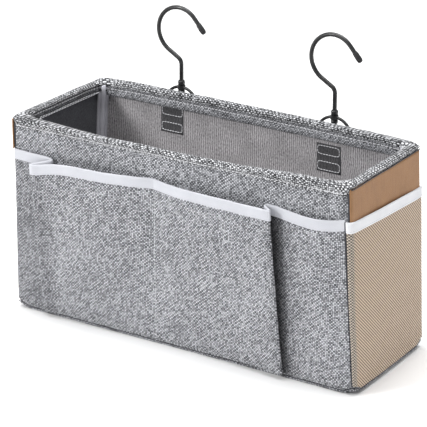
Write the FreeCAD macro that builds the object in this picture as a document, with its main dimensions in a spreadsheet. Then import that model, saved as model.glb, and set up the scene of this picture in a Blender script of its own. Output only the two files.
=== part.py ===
"""Hanging storage caddy: a board-stiffened fabric box on two swivelling wire hooks.

Millimetres.  +X runs along the long front, +Y points to the back where the hooks are, +Z is up.
The origin is the centre of the flat underside.
"""
import FreeCAD, Part
import math
import os
import re

import Sketcher

# ---------------------------------------------------------------- driving dimensions

SIZES = {
    # the box
    "width": 370,
    "depth": 132,
    "height": 200,
    "skin": 1.5,            # outer linen
    "board": 3,             # greyboard stiffener
    "lining": 1,            # inner ribbed fabric
    "hem": 1.5,             # folded linen round the rim
    "hem_outside": 12,      # how far the hem comes down on the outside
    "hem_inside": 15.5,     # and on the inside
    "tape_width": 11,       # tape over each inner corner seam
    "tape": 0.8,
    # removable base insert
    "insert": 3,
    "insert_gap_end": 7,    # the rim is drawn in at the ends, and the board has to lift past it
    "insert_gap_side": 3,
    "insert_gap_under": 0.2,
    "insert_corner": 5,
    # pockets on the outside
    "cloth": 1.2,
    "binding": 1.8,
    "binding_drop": 13,
    "pocket_foot": 5,
    "front_mouth": 166,
    "front_proud": 11,
    "front_proud_foot": 3.6,
    "front_solid": 45,      # the folded pocket is closed cloth below this height
    "seam_offset": 22,      # the stitched division, left of centre
    "seam_land": 5,
    "left_pleat_root": 139,
    "left_pleat_fold": 160,
    "right_pleat_root": 86,
    "right_pleat_fold": 110,
    "pleat_lap": 3,         # how far the flat cloth runs under each pleat
    "crown_run": 8,         # the cloth rises to its full depth over this
    "side_mouth": 164,
    "side_proud": 7.4,
    "side_solid": 30,
    "side_crown": 50,
    "side_inset": 1,
    "side_foot_fold": 0.6,
    # leatherette band on each end
    "band": 1.5,
    "band_foot": 166.5,
    "band_head": 198,
    "band_corner": 2,
    "band_inset": 0.5,
    # sewing thread
    "thread": 0.8,
    "rim_stitch": 190,
    "rim_stitch_inset": 2,
    "frame_wide": 24,
    "frame_tall": 8,
    "frame_upper": 176,
    "frame_lower": 160,
    # hanging hardware
    "hook_spread": 86,
    "pivot_back": 6.5,      # pivot line behind the back face
    "pivot_up": 188,
    "strap_wide": 28,
    "webbing": 1.4,
    "strap_foot": 155,
    "strap_merge": 176,
    "eye_flat": 1.4,        # half the flat on top of the strap's eye
    "ring_wire": 3,
    "ring_radius": 18.5,
    "ring_corner": 3,
    "boss_radius": 3.9,
    "boss_foot": 16.5,      # heights of the swivel parts are measured up from the pivot
    "boss_head": 20.5,
    "swivel_gap": 0.5,
    "swivel_clearance": 0.08,
    "eye_slack": 0.1,
    "eye_waist": 1,         # how far below the bar the webbing starts to close in
    "bore_over": 1,
    "frame_margin": 1,
    "seam_stitch_up": 3,
    "rivet_radius": 3.4,
    "rivet_tall": 4,
    "collar_radius": 3.5,
    "collar_tall": 4.5,
    "hook_wire": 4.2,
    "shank": 20.5,          # straight wire above the ring's boss
    "crank_radius": 7.5,
    "crank_turn": 59.1,
    "crank_run": 12.9,
    "crook_radius": 23.5,
    "crook_turn": 198.6,
    "tail": 16,
    "cap_radius": 2.8,
    "cap_long": 11,
    "cap_end": 2,           # how thick the cap is beyond the wire
    "push_fit": 0.05,
}

doc = FreeCAD.newDocument("hanging_caddy")
sheet = doc.addObject("Spreadsheet::Sheet", "Dims")
for row, (alias, value) in enumerate(SIZES.items(), start=1):
    sheet.set(f"A{row}", alias)
    sheet.set(f"B{row}", str(value))
    sheet.setAlias(f"B{row}", alias)
doc.recompute()

ALIAS = re.compile(r"\b(" + "|".join(sorted(SIZES, key=len, reverse=True)) + r")\b")
parts = []


def bound(formula):
    """The same formula, reading its sizes from the sheet."""
    return ALIAS.sub(r"Dims.\1", formula)


def size(formula):
    """The present value of a formula."""
    return float(sheet.evalExpression(bound(formula)))


def keep(thing, label):
    """Name a finished sub-part; only kept things are written out."""
    thing.Label = label
    parts.append(thing)
    return thing


# ---------------------------------------------------------------- small modelling helpers

def place(thing, where=("0", "0", "0"), turn=None):
    """Bind a placement: where it stands, and a quarter or half turn about +Z."""
    for axis, formula in zip("xyz", where):
        thing.setExpression(f"Placement.Base.{axis}", bound(formula))
    if turn:
        thing.Placement.Rotation = FreeCAD.Rotation(FreeCAD.Vector(0, 0, 1), turn)


def block(name, low, high):
    """A box from its low corner to its high corner, each three formulas."""
    box = doc.addObject("Part::Box", name)
    for prop, a, b in zip(("Length", "Width", "Height"), low, high):
        box.setExpression(prop, bound(f"({b}) - ({a})"))
    place(box, low)
    return box


def new_body(name):
    return doc.addObject("PartDesign::Body", name)


def new_sketch(body, role, name, lift="0"):
    """An empty sketch on one of the body's own origin planes, raised off it by a formula."""
    sketch = body.newObject("Sketcher::SketchObject", name)
    plane = next(f for f in body.Origin.OriginFeatures if f.Role == role)
    sketch.AttachmentSupport = [(plane, "")]
    sketch.MapMode = "FlatFace"
    sketch.setExpression("AttachmentOffset.Base.z", bound(lift))
    return sketch


def pin(sketch, geometry, vertex, point):
    """Hold one vertex at a place given by two formulas."""
    for kind, formula in zip(("DistanceX", "DistanceY"), point):
        index = sketch.addConstraint(
            Sketcher.Constraint(kind, -1, 1, geometry, vertex, size(formula)))
        sketch.setExpression(f"Constraints[{index}]", bound(formula))


def polygon(sketch, points):
    """A closed outline of straight lines through points given as formulas."""
    places = [FreeCAD.Vector(size(u), size(v), 0) for u, v in points]
    lines = []
    for start, end in zip(places, places[1:] + places[:1]):
        lines.append(sketch.addGeometry(Part.LineSegment(start, end)))
    for line, follower, point in zip(lines, lines[1:] + lines[:1], points):
        sketch.addConstraint(Sketcher.Constraint("Coincident", line, 2, follower, 1))
        pin(sketch, line, 1, point)
    return sketch


def rectangle(sketch, low, high):
    (a, b), (c, d) = low, high
    return polygon(sketch, [(a, b), (c, b), (c, d), (a, d)])


def disc(sketch, radius, centre=("0", "0")):
    middle = FreeCAD.Vector(size(centre[0]), size(centre[1]), 0)
    circle = sketch.addGeometry(Part.Circle(middle, FreeCAD.Vector(0, 0, 1), size(radius)))
    if centre == ("0", "0"):
        sketch.addConstraint(Sketcher.Constraint("Coincident", circle, 3, -1, 1))
    else:
        pin(sketch, circle, 3, centre)
    index = sketch.addConstraint(Sketcher.Constraint("Radius", circle, size(radius)))
    sketch.setExpression(f"Constraints[{index}]", bound(radius))
    return sketch


def pad(body, sketch, length, both_ways=False, reverse=False):
    feature = body.newObject("PartDesign::Pad", sketch.Name + "_pad")
    feature.Profile = sketch
    feature.Reversed = reverse
    if both_ways:
        feature.SideType = "Symmetric"
    feature.setExpression("Length", bound(length))
    return feature


def cut_through(body, sketch):
    """Cut a sketch's outline right through the body, both ways."""
    feature = body.newObject("PartDesign::Pocket", sketch.Name + "_cut")
    feature.Profile = sketch
    feature.Type = "ThroughAll"
    feature.SideType = "Symmetric"
    return feature


def loft(body, kind, lower, upper):
    feature = body.newObject("PartDesign::" + kind, lower.Name + "_loft")
    feature.Profile = lower
    feature.Sections = [upper]
    feature.Ruled = True
    return feature


def solid_of_turn(body, points, name):
    """Revolve an outline of (radius, height) formulas about the body's Z axis."""
    sketch = polygon(new_sketch(body, "XZ_Plane", name), points)
    feature = body.newObject("PartDesign::Revolution", name + "_turned")
    feature.Profile = sketch
    feature.ReferenceAxis = (sketch, ["V_Axis"])
    feature.Angle = 360
    return feature


# ---------------------------------------------------------------- the box

X_OUT = "width/2"
Y_OUT = "depth/2"
X_SKIN = "(width/2 - skin)"
Y_SKIN = "(depth/2 - skin)"
X_BOARD = "(width/2 - skin - board)"
Y_BOARD = "(depth/2 - skin - board)"
X_IN = "(width/2 - skin - board - lining)"
Y_IN = "(depth/2 - skin - board - lining)"
Z_HEM = "(height - hem)"
Z_FLOOR = "(skin + board + lining)"
# the end walls' layers stop inside the layer of the long walls that covers them
LAYERS = {
    "outer": (X_SKIN, X_OUT, X_OUT, Y_SKIN, Y_OUT, Y_SKIN, "skin", "height - hem_outside"),
    "board": (X_BOARD, X_SKIN, X_SKIN, Y_BOARD, Y_SKIN, Y_BOARD, "skin", Z_HEM),
    "lining": (X_IN, X_BOARD, X_BOARD, Y_IN, Y_BOARD, Y_IN, "skin + board", Z_HEM),
}


def make_walls():
    for layer, (x_near, x_far, x_end, y_near, y_far, y_end, foot, head) in LAYERS.items():
        keep(block(layer + "_front_panel", (f"-{x_end}", f"-{y_far}", foot), (x_end, f"-{y_near}", head)),
             layer + "_front")
        keep(block(layer + "_back_panel", (f"-{x_end}", y_near, foot), (x_end, y_far, head)),
             layer + "_back")
        keep(block(layer + "_left_panel", (f"-{x_far}", f"-{y_end}", foot), (f"-{x_near}", y_end, head)),
             layer + "_left")
        keep(block(layer + "_right_panel", (x_near, f"-{y_end}", foot), (x_far, y_end, head)),
             layer + "_right")


def make_floor():
    keep(block("bottom_cloth", (f"-{X_OUT}", f"-{Y_OUT}", "0"), (X_OUT, Y_OUT, "skin")), "outer_bottom")
    keep(block("bottom_board", (f"-{X_BOARD}", f"-{Y_BOARD}", "skin"), (X_BOARD, Y_BOARD, "skin + board")),
         "board_floor")
    keep(block("bottom_lining", (f"-{X_IN}", f"-{Y_IN}", "skin + board"), (X_IN, Y_IN, Z_FLOOR)),
         "lining_floor")


def make_hem(label, length, reach, turn):
    """A channel folded over the top of one wall, mitred at both ends to meet its neighbours."""
    body = new_body(label + "_body")
    inner = f"-({reach} - skin - board - lining)"
    outside, inside = "height - hem_outside", "height - hem_inside"
    channel = polygon(new_sketch(body, "YZ_Plane", label + "_channel"), [
        (f"-{reach}", outside),
        (f"-{reach}", "height"),
        (f"{inner} + hem", "height"),
        (f"{inner} + hem", inside),
        (inner, inside),
        (inner, Z_HEM),
        (f"-{reach} + skin", Z_HEM),
        (f"-{reach} + skin", outside),
    ])
    pad(body, channel, length, both_ways=True)
    across = "(skin + board + lining + hem)"
    spare = "5"
    for side, sign in (("left", "-"), ("right", "")):
        corner = polygon(new_sketch(body, "XY_Plane", f"{label}_mitre_{side}"), [
            (f"{sign}({length}/2 + {spare})", f"-{reach} - {spare}"),
            (f"{sign}({length}/2 + {spare})", f"-{reach} + {across} + {spare}"),
            (f"{sign}({length}/2 - {across} - {spare})", f"-{reach} + {across} + {spare}"),
        ])
        cut_through(body, corner)
    place(body, turn=turn)
    keep(body, label)


def make_corner_tapes():
    """Tape over the four upright seams inside; each is an L, kept as one group."""
    strips = []
    foot, head = Z_FLOOR, "height - hem_inside"
    for x_sign, x_name in ((-1, "left"), (1, "right")):
        for y_sign, y_name in ((-1, "front"), (1, "back")):
            body = new_body(f"tape_{y_name}_{x_name}")
            outline = [
                (X_IN, Y_IN),
                (f"{X_IN} - tape_width", Y_IN),
                (f"{X_IN} - tape_width", f"{Y_IN} - tape"),
                (f"{X_IN} - tape", f"{Y_IN} - tape"),
                (f"{X_IN} - tape", f"{Y_IN} - tape_width"),
                (X_IN, f"{Y_IN} - tape_width"),
            ]
            signed = [(f"{x_sign}*({u})", f"{y_sign}*({v})") for u, v in outline]
            sketch = polygon(new_sketch(body, "XY_Plane", body.Name + "_plan", foot), signed)
            pad(body, sketch, f"({head}) - {foot}")
            strips.append(body)
    group = doc.addObject("Part::Compound", "tapes")
    group.Links = strips
    keep(group, "corner_tapes")


def make_insert():
    """A loose stiff board with rounded corners that lies on the floor and lifts out."""
    body = new_body("base_insert_body")
    x_edge = f"{X_IN} - insert_gap_end"
    y_edge = f"{Y_IN} - insert_gap_side"
    foot = f"{Z_FLOOR} + insert_gap_under"
    plan = rectangle(new_sketch(body, "XY_Plane", "base_insert_plan", foot),
                     (f"-({x_edge})", f"-({y_edge})"), (x_edge, y_edge))
    plate = pad(body, plan, "insert")
    doc.recompute()
    uprights = [f"Edge{i}" for i, edge in enumerate(plate.Shape.Edges, start=1)
                if abs(edge.tangentAt(edge.FirstParameter).z) > 0.9]
    rounding = body.newObject("PartDesign::Fillet", "base_insert_corners")
    rounding.Base = (plate, uprights)
    rounding.setExpression("Radius", bound("insert_corner"))
    keep(body, "base_insert")


# ---------------------------------------------------------------- outside pockets

def section(body, name, lift, face, feet, crowns, depth):
    """The plan of a pocket at one height: feet on the wall, crowns standing off it."""
    return polygon(new_sketch(body, "XY_Plane", name, lift), [
        (feet[0], f"-{face}"),
        (crowns[0], f"-({face} + {depth})"),
        (crowns[1], f"-({face} + {depth})"),
        (feet[1], f"-{face}"),
    ])


def make_pouch(label, face, feet, crowns, walls, rise, depth, thick, hollow_from, flats=(), turn=None):
    """A leaning sheet with closed ends, open at the top, that leaves a wedge of space behind it.

    face is the wall's distance from the centre line.  rise and depth are (foot, head) pairs.
    walls is how much narrower the hollow is at each end.  flats are (from, to) stretches sewn
    flat on the wall.
    """
    body = new_body(label + "_body")
    slope = f"(({depth[1]}) - ({depth[0]}))/(({rise[1]}) - ({rise[0]}))"
    loft(body, "AdditiveLoft",
         section(body, label + "_foot", rise[0], face, feet, crowns, f"({depth[0]})"),
         section(body, label + "_head", rise[1], face, feet, crowns, f"({depth[1]})"))
    inner_feet = (f"{feet[0]} + {walls[0]}", f"{feet[1]} - {walls[1]}")
    inner_crowns = (f"{crowns[0]} + {walls[0]}", f"{crowns[1]} - {walls[1]}")
    low_depth = f"({depth[0]}) + {slope}*(({hollow_from}) - ({rise[0]})) - {thick}"
    loft(body, "SubtractiveLoft",
         section(body, label + "_hollow_foot", hollow_from, face, inner_feet, inner_crowns,
                 f"({low_depth})"),
         section(body, label + "_hollow_head", rise[1], face, inner_feet, inner_crowns,
                 f"(({depth[1]}) - {thick})"))
    for index, (start, end) in enumerate(flats):
        plan = rectangle(new_sketch(body, "XY_Plane", f"{label}_flat_{index}", rise[0]),
                         (start, f"-({face} + {thick})"), (end, f"-{face}"))
        pad(body, plan, f"({rise[1]}) - ({rise[0]})")
    place(body, turn=turn)
    keep(body, label)


def make_bound_pouch(names, face, mouth, proud, proud_foot, solid, turn=None, **shape):
    """A pocket and, on top of it, the white binding that finishes its mouth."""
    pocket, binding = names
    brow = f"({mouth} - binding_drop)"
    brow_depth = f"{proud_foot} + ({proud} - {proud_foot})*({brow} - pocket_foot)/({mouth} - pocket_foot)"
    make_pouch(pocket, face, rise=("pocket_foot", brow), depth=(proud_foot, brow_depth),
               thick="cloth", hollow_from=solid, turn=turn, **shape)
    make_pouch(binding, face, rise=(brow, mouth), depth=(brow_depth, proud),
               thick="binding", hollow_from=brow, turn=turn, **shape)


def make_pockets():
    pleat_wall, end_wall = "4", "2.4"
    front = dict(face=Y_OUT, mouth="front_mouth", proud="front_proud",
                 proud_foot="front_proud_foot", solid="front_solid")
    make_bound_pouch(
        ("front_pocket_left", "front_binding_left"), **front,
        feet=("-left_pleat_root", "-seam_offset - seam_land/2"),
        crowns=("-left_pleat_fold", "-seam_offset - seam_land/2 - crown_run"),
        walls=(pleat_wall, end_wall),
        flats=[(f"-{X_OUT}", "-left_pleat_root + pleat_lap"),
               ("-seam_offset - seam_land", "-seam_offset")])
    make_bound_pouch(
        ("front_pocket_right", "front_binding_right"), **front,
        feet=("-seam_offset + seam_land/2", "right_pleat_root"),
        crowns=("-seam_offset + seam_land/2 + crown_run", "right_pleat_fold"),
        walls=(end_wall, pleat_wall),
        flats=[("-seam_offset", "-seam_offset + seam_land"),
               ("right_pleat_root - pleat_lap", X_OUT)])
    side = dict(face=X_OUT, mouth="side_mouth", proud="side_proud", proud_foot="cloth + side_foot_fold",
                solid="side_solid", feet=("-depth/2 + side_inset", "depth/2 - side_inset"),
                crowns=("-side_crown", "side_crown"), walls=(end_wall, end_wall))
    make_bound_pouch(("side_pocket_right", "side_binding_right"), **side, turn=90)
    make_bound_pouch(("side_pocket_left", "side_binding_left"), **side, turn=-90)


def make_bands():
    """A leatherette band under the rim on each end wall, with rounded corners."""
    for label, side in (("leather_band_left", "left"), ("leather_band_right", "right")):
        body = new_body(label + "_body")
        lift = X_OUT if side == "right" else f"-{X_OUT}"
        plan = rectangle(new_sketch(body, "YZ_Plane", label + "_outline", lift),
                         ("-depth/2 + band_inset", "band_foot"), ("depth/2 - band_inset", "band_head"))
        plate = pad(body, plan, "band", reverse=side == "left")
        doc.recompute()
        corners = [f"Edge{i}" for i, edge in enumerate(plate.Shape.Edges, start=1)
                   if abs(edge.tangentAt(edge.FirstParameter).x) > 0.9]
        rounding = body.newObject("PartDesign::Fillet", label + "_corners")
        rounding.Base = (plate, corners)
        rounding.setExpression("Radius", bound("band_corner"))
        keep(body, label)


# ---------------------------------------------------------------- sewing thread

def make_stitching():
    """Raised lines of thread: round the rim, and down the seam that divides the front pockets."""
    runs = []
    for name, y_low, y_high in (("front", f"-{Y_OUT} - thread/2", f"-{Y_OUT}"),
                                ("back", Y_OUT, f"{Y_OUT} + thread/2")):
        runs.append(block("rim_thread_" + name,
                          (f"-{X_OUT} + rim_stitch_inset", y_low, "rim_stitch - thread/2"),
                          (f"{X_OUT} - rim_stitch_inset", y_high, "rim_stitch + thread/2")))
    group = doc.addObject("Part::Compound", "rim_threads")
    group.Links = runs
    keep(group, "rim_stitching")
    keep(block("seam_thread",
               ("-seam_offset - thread/2", f"-({Y_OUT} + cloth) - thread/2", "pocket_foot + seam_stitch_up"),
               ("-seam_offset + thread/2", f"-({Y_OUT} + cloth)", "front_mouth - binding_drop")),
         "pocket_stitching")


def make_frame_stitch(name, centre_x, foot, face, outward):
    """One stitched rectangle of thread lying on a wall face; outward is +1 or -1 along Y."""
    body = new_body(name)
    outer = rectangle(new_sketch(body, "XZ_Plane", name + "_outer", f"-({face})"),
                      (f"{centre_x} - frame_wide/2", foot),
                      (f"{centre_x} + frame_wide/2", f"{foot} + frame_tall"))
    pad(body, outer, "thread/2", reverse=outward > 0)
    inner = rectangle(new_sketch(body, "XZ_Plane", name + "_inner", f"-({face})"),
                      (f"{centre_x} - frame_wide/2 + thread", f"{foot} + thread"),
                      (f"{centre_x} + frame_wide/2 - thread", f"{foot} + frame_tall - thread"))
    cut_through(body, inner)
    return body


# ---------------------------------------------------------------- hanging hardware

def make_strap(label, centre_x):
    """A webbing loop: two layers sewn to the back wall, opening into an eye round the ring's bar."""
    body = new_body(label + "_body")
    eye_y, eye_z = f"({Y_OUT} + pivot_back)", "pivot_up"
    inner = "(ring_wire/2 + swivel_clearance + eye_slack)"
    outer = f"({inner} + webbing)"
    wall = Y_OUT
    lay = f"({wall} + 2*webbing)"
    outline = polygon(new_sketch(body, "YZ_Plane", label + "_side", f"{centre_x} - strap_wide/2"), [
        (wall, "strap_foot"),
        (lay, "strap_foot"),
        (lay, "strap_merge"),
        (f"{eye_y} + {outer}", f"{eye_z} - eye_waist"),
        (f"{eye_y} + {outer}", f"{eye_z} + eye_flat"),
        (f"{eye_y} + eye_flat", f"{eye_z} + {outer}"),
        (f"{eye_y} - eye_flat", f"{eye_z} + {outer}"),
        (f"{eye_y} - {outer}", f"{eye_z} + eye_flat"),
        (f"{eye_y} - {outer}", f"{eye_z} - eye_waist"),
        (wall, "strap_merge + 4"),
    ])
    pad(body, outline, "strap_wide")
    eye = new_sketch(body, "YZ_Plane", label + "_eye", f"{centre_x} - strap_wide/2")
    disc(eye, inner, (eye_y, eye_z))
    cut_through(body, eye)
    keep(body, label)


def ring_spine(body, name):
    """A closed D: a straight bar through the pivot and an arch over it, with small corner bends."""
    sketch = new_sketch(body, "XZ_Plane", name)
    arch, corner = size("ring_radius"), size("ring_corner")
    # the corner bends are tangent to the bar below and to the arch outside them
    bend_x = math.sqrt((arch - corner)**2 - corner**2)
    touch = math.atan2(corner, bend_x)
    normal = FreeCAD.Vector(0, 0, 1)

    def arc(centre_x, centre_y, radius, start, end):
        circle = Part.Circle(FreeCAD.Vector(centre_x, centre_y, 0), normal, radius)
        return sketch.addGeometry(Part.ArcOfCircle(circle, start, end))

    origin = FreeCAD.Vector(0, 0, 0)
    bar_right = sketch.addGeometry(Part.LineSegment(origin, FreeCAD.Vector(bend_x, 0, 0)))
    bend_right = arc(bend_x, corner, corner, -math.pi/2, touch)
    top = arc(0, 0, arch, touch, math.pi - touch)
    bend_left = arc(-bend_x, corner, corner, math.pi - touch, 1.5*math.pi)
    bar_left = sketch.addGeometry(Part.LineSegment(FreeCAD.Vector(-bend_x, 0, 0), origin))
    chain = [bar_right, bend_right, top, bend_left, bar_left]
    for one, other in zip(chain, chain[1:]):
        sketch.addConstraint(Sketcher.Constraint("Tangent", one, 2, other, 1))
    sketch.addConstraint(Sketcher.Constraint("Coincident", bar_right, 1, -1, 1))
    sketch.addConstraint(Sketcher.Constraint("Coincident", bar_left, 2, -1, 1))
    sketch.addConstraint(Sketcher.Constraint("Horizontal", bar_right))
    sketch.addConstraint(Sketcher.Constraint("Coincident", top, 3, -1, 1))
    for arc_index, formula in ((bend_right, "ring_corner"), (bend_left, "ring_corner"), (top, "ring_radius")):
        index = sketch.addConstraint(Sketcher.Constraint("Radius", arc_index, size(formula)))
        sketch.setExpression(f"Constraints[{index}]", bound(formula))
    return sketch


def make_ring(label, where):
    """A D-ring whose arch carries a bored boss for the hook's shank; its bar is the hinge."""
    body = new_body(label + "_body")
    spine = ring_spine(body, label + "_spine")
    wire = disc(new_sketch(body, "YZ_Plane", label + "_wire"), "ring_wire/2")
    pipe = body.newObject("PartDesign::AdditivePipe", label + "_pipe")
    pipe.Profile = wire
    pipe.Spine = (spine, [])
    boss = disc(new_sketch(body, "XY_Plane", label + "_boss", "boss_foot"), "boss_radius")
    pad(body, boss, "boss_head - boss_foot")
    bore = disc(new_sketch(body, "XY_Plane", label + "_bore", "boss_foot - bore_over"),
                "hook_wire/2 + swivel_clearance")
    hole = body.newObject("PartDesign::Pocket", label + "_bored")
    hole.Profile = bore
    hole.Reversed = True
    hole.setExpression("Length", bound("boss_head - boss_foot + 2*bore_over"))
    place(body, where)
    keep(body, label)


# the outlines of a crimped bead and of a dipped cap: how far along, and how much of the radius
BARREL = ((0, 0.35), (0.1, 0.7), (0.25, 0.93), (0.5, 1), (0.75, 0.93), (0.9, 0.7), (1, 0.35))
DROP = ((0, 0.86), (0.2, 0.94), (0.5, 1), (0.8, 0.97), (0.93, 0.8), (1, 0.45))


def bead(bore, radius, foot, tall):
    """A bored barrel as (radius, height) formulas, from its foot up."""
    outline = [(bore, foot)]
    for share, reach in BARREL:
        outline.append((f"{bore} + ({radius} - {bore})*{reach}", f"{foot} + {tall}*{share}"))
    outline.append((bore, f"{foot} + {tall}"))
    return outline


def hook_spine(body, name):
    """The bent wire's centre line: shank, crank to the left, then the crook over to the right."""
    sketch = new_sketch(body, "XZ_Plane", name)
    foot = size("boss_foot - swivel_gap - rivet_tall")
    head = size("boss_head + swivel_gap + shank")
    normal = FreeCAD.Vector(0, 0, 1)
    lean = math.radians(size("crank_turn"))
    drop = math.radians(size("crank_turn - crook_turn")) + math.pi/2
    crank, crook = size("crank_radius"), size("crook_radius")

    def ahead(point, heading, distance):
        return point + FreeCAD.Vector(math.cos(heading), math.sin(heading), 0)*distance

    start, turn = FreeCAD.Vector(0, foot, 0), FreeCAD.Vector(0, head, 0)
    shank = sketch.addGeometry(Part.LineSegment(start, turn))
    crank_centre = ahead(turn, math.pi, crank)
    bend = sketch.addGeometry(Part.ArcOfCircle(Part.Circle(crank_centre, normal, crank), 0, lean))
    heading = math.pi/2 + lean
    leave = ahead(crank_centre, lean, crank)
    reach = ahead(leave, heading, size("crank_run"))
    run = sketch.addGeometry(Part.LineSegment(leave, reach))
    crook_centre = ahead(reach, heading - math.pi/2, crook)
    arch = sketch.addGeometry(Part.ArcOfCircle(Part.Circle(crook_centre, normal, crook),
                                               drop + math.pi/2, heading + math.pi/2))
    fall = ahead(crook_centre, drop + math.pi/2, crook)
    tail = sketch.addGeometry(Part.LineSegment(fall, ahead(fall, drop, size("tail"))))
    joins = [(shank, 2, bend, 1), (bend, 2, run, 1), (run, 2, arch, 2), (arch, 1, tail, 1)]
    for join in joins:
        sketch.addConstraint(Sketcher.Constraint("Tangent", *join))
    sketch.addConstraint(Sketcher.Constraint("PointOnObject", shank, 1, -2))
    sketch.addConstraint(Sketcher.Constraint("Vertical", shank))
    measures = [
        (("DistanceY", -1, 1, shank, 1), foot, "boss_foot - swivel_gap - rivet_tall"),
        (("DistanceY", -1, 1, shank, 2), head, "boss_head + swivel_gap + shank"),
        (("Radius", bend), crank, "crank_radius"),
        (("Distance", run), size("crank_run"), "crank_run"),
        (("Angle", run), heading, "90 + crank_turn"),
        (("Radius", arch), crook, "crook_radius"),
        (("Angle", tail), drop, "90 + crank_turn - crook_turn"),
        (("Distance", tail), size("tail"), "tail"),
    ]
    for what, value, formula in measures:
        index = sketch.addConstraint(Sketcher.Constraint(*what, value))
        sketch.setExpression(f"Constraints[{index}]", bound(formula))
    tip = ahead(fall, drop, size("tail"))
    return sketch, tip, drop


def make_hook(side, where):
    """A hook of bent wire with its riveted end, its collar and a dipped cap on its tip."""
    body = new_body(f"hook_wire_{side}_body")
    spine, tip, heading = hook_spine(body, f"hook_{side}_spine")
    wire = disc(new_sketch(body, "XY_Plane", f"hook_{side}_wire", "boss_foot - swivel_gap - rivet_tall"),
                "hook_wire/2")
    pipe = body.newObject("PartDesign::AdditivePipe", f"hook_{side}_pipe")
    pipe.Profile = wire
    pipe.Spine = (spine, [])
    place(body, where)
    keep(body, "hook_wire_" + side)

    bore = "(hook_wire/2 + push_fit)"
    rivet = new_body(f"hook_rivet_{side}_body")
    head = "(boss_foot - swivel_gap)"
    solid_of_turn(rivet, bead(bore, "rivet_radius", f"({head} - rivet_tall)", "rivet_tall"),
                  f"rivet_profile_{side}")
    place(rivet, where)
    keep(rivet, "hook_rivet_" + side)

    collar = new_body(f"hook_collar_{side}_body")
    base = "(boss_head + swivel_gap)"
    solid_of_turn(collar, bead(bore, "collar_radius", base, "collar_tall"),
                  f"collar_profile_{side}")
    place(collar, where)
    keep(collar, "hook_collar_" + side)

    # the cap is turned about its own axis, then laid along the tail of the wire
    cap = new_body(f"hook_cap_{side}_body")
    outside = [(f"cap_radius*{reach}", f"cap_long*{share}") for share, reach in DROP]
    solid_of_turn(cap, [
        (bore, "0"),
        *outside,
        ("0", "cap_long"),
        ("0", "cap_long - cap_end"),
        (bore, "cap_long - cap_end"),
    ], f"cap_profile_{side}")
    along = FreeCAD.Vector(math.cos(heading), 0, math.sin(heading))
    mouth = FreeCAD.Vector(tip.x, 0, tip.y) - along*(size("cap_long - cap_end - push_fit"))
    foot = FreeCAD.Vector(*[size(formula) for formula in where])
    cap.Placement = FreeCAD.Placement(foot + mouth, FreeCAD.Rotation(FreeCAD.Vector(0, 0, 1), along))
    keep(cap, "hook_cap_" + side)


def make_hanger(side, sign):
    centre_x = f"{sign}hook_spread"
    where = (centre_x, f"{Y_OUT} + pivot_back", "pivot_up")
    make_strap("strap_" + side, centre_x)
    frames = []
    for level in ("upper", "lower"):
        frames.append(make_frame_stitch(f"frame_{level}_in_{side}", centre_x, "frame_" + level, Y_IN, -1))
    for level, foot in (("upper", "strap_merge - frame_tall - frame_margin"),
                        ("lower", "strap_foot + 2*frame_margin")):
        frames.append(make_frame_stitch(f"frame_{level}_out_{side}", centre_x, foot,
                                        f"{Y_OUT} + 2*webbing", 1))
    group = doc.addObject("Part::Compound", "frames_" + side)
    group.Links = frames
    keep(group, "strap_stitching_" + side)
    make_ring("ring_" + side, where)
    make_hook(side, where)


# ---------------------------------------------------------------- build, test, write

make_walls()
make_floor()
make_hem("rim_hem_front", "width", Y_OUT, 0)
make_hem("rim_hem_right", "depth", X_OUT, 90)
make_hem("rim_hem_back", "width", Y_OUT, 180)
make_hem("rim_hem_left", "depth", X_OUT, -90)
make_corner_tapes()
make_insert()
make_pockets()
make_bands()
make_stitching()
make_hanger("left", "-")
make_hanger("right", "")
doc.recompute()

for thing in doc.Objects:
    if {"Invalid", "Error"} & set(thing.State):
        raise RuntimeError(f"{thing.Label} failed: {thing.State}")
os.makedirs("parts", exist_ok=True)
for thing in parts:
    if thing.Shape.isNull() or not thing.Shape.isValid() or thing.Shape.Volume <= 0:
        raise RuntimeError(f"{thing.Label} has no sound shape")
    thing.Shape.exportStep(f"parts/{thing.Label}.step")
    box = thing.Shape.BoundBox
    print(f"{thing.Label:22} solids {len(thing.Shape.Solids)}  volume {thing.Shape.Volume:10.1f}"
          f"  x {box.XMin:7.1f}..{box.XMax:7.1f}  y {box.YMin:6.1f}..{box.YMax:6.1f}"
          f"  z {box.ZMin:6.1f}..{box.ZMax:6.1f}")
print(len(parts), "nodes")
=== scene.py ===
"""The looks of the hanging fabric caddy: cloth, tape, leatherette, thread and lacquered wire.

Metres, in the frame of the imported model.  +X runs along the front, +Y to the back, +Z up.
"""

import math

import bmesh
import bpy
import numpy as np
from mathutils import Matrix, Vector, noise


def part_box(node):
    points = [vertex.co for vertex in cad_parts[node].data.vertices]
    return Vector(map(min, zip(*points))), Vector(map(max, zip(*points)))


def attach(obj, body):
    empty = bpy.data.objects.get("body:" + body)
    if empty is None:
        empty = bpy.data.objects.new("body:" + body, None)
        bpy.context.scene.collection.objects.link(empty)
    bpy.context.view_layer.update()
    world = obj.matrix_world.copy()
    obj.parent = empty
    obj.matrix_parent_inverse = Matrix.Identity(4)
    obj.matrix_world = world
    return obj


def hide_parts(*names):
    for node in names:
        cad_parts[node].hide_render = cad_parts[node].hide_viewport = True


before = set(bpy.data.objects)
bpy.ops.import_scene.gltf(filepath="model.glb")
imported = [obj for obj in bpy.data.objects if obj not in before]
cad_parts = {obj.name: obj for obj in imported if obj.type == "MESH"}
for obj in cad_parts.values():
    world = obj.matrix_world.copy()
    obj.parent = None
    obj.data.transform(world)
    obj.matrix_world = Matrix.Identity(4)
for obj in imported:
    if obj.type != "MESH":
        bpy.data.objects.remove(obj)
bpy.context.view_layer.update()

MM = 0.001
SIDES = {"left": -1, "right": 1}
spread = np.linspace  # evenly spaced values from a low one to a high one

# ---------- places read from the frame

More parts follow.
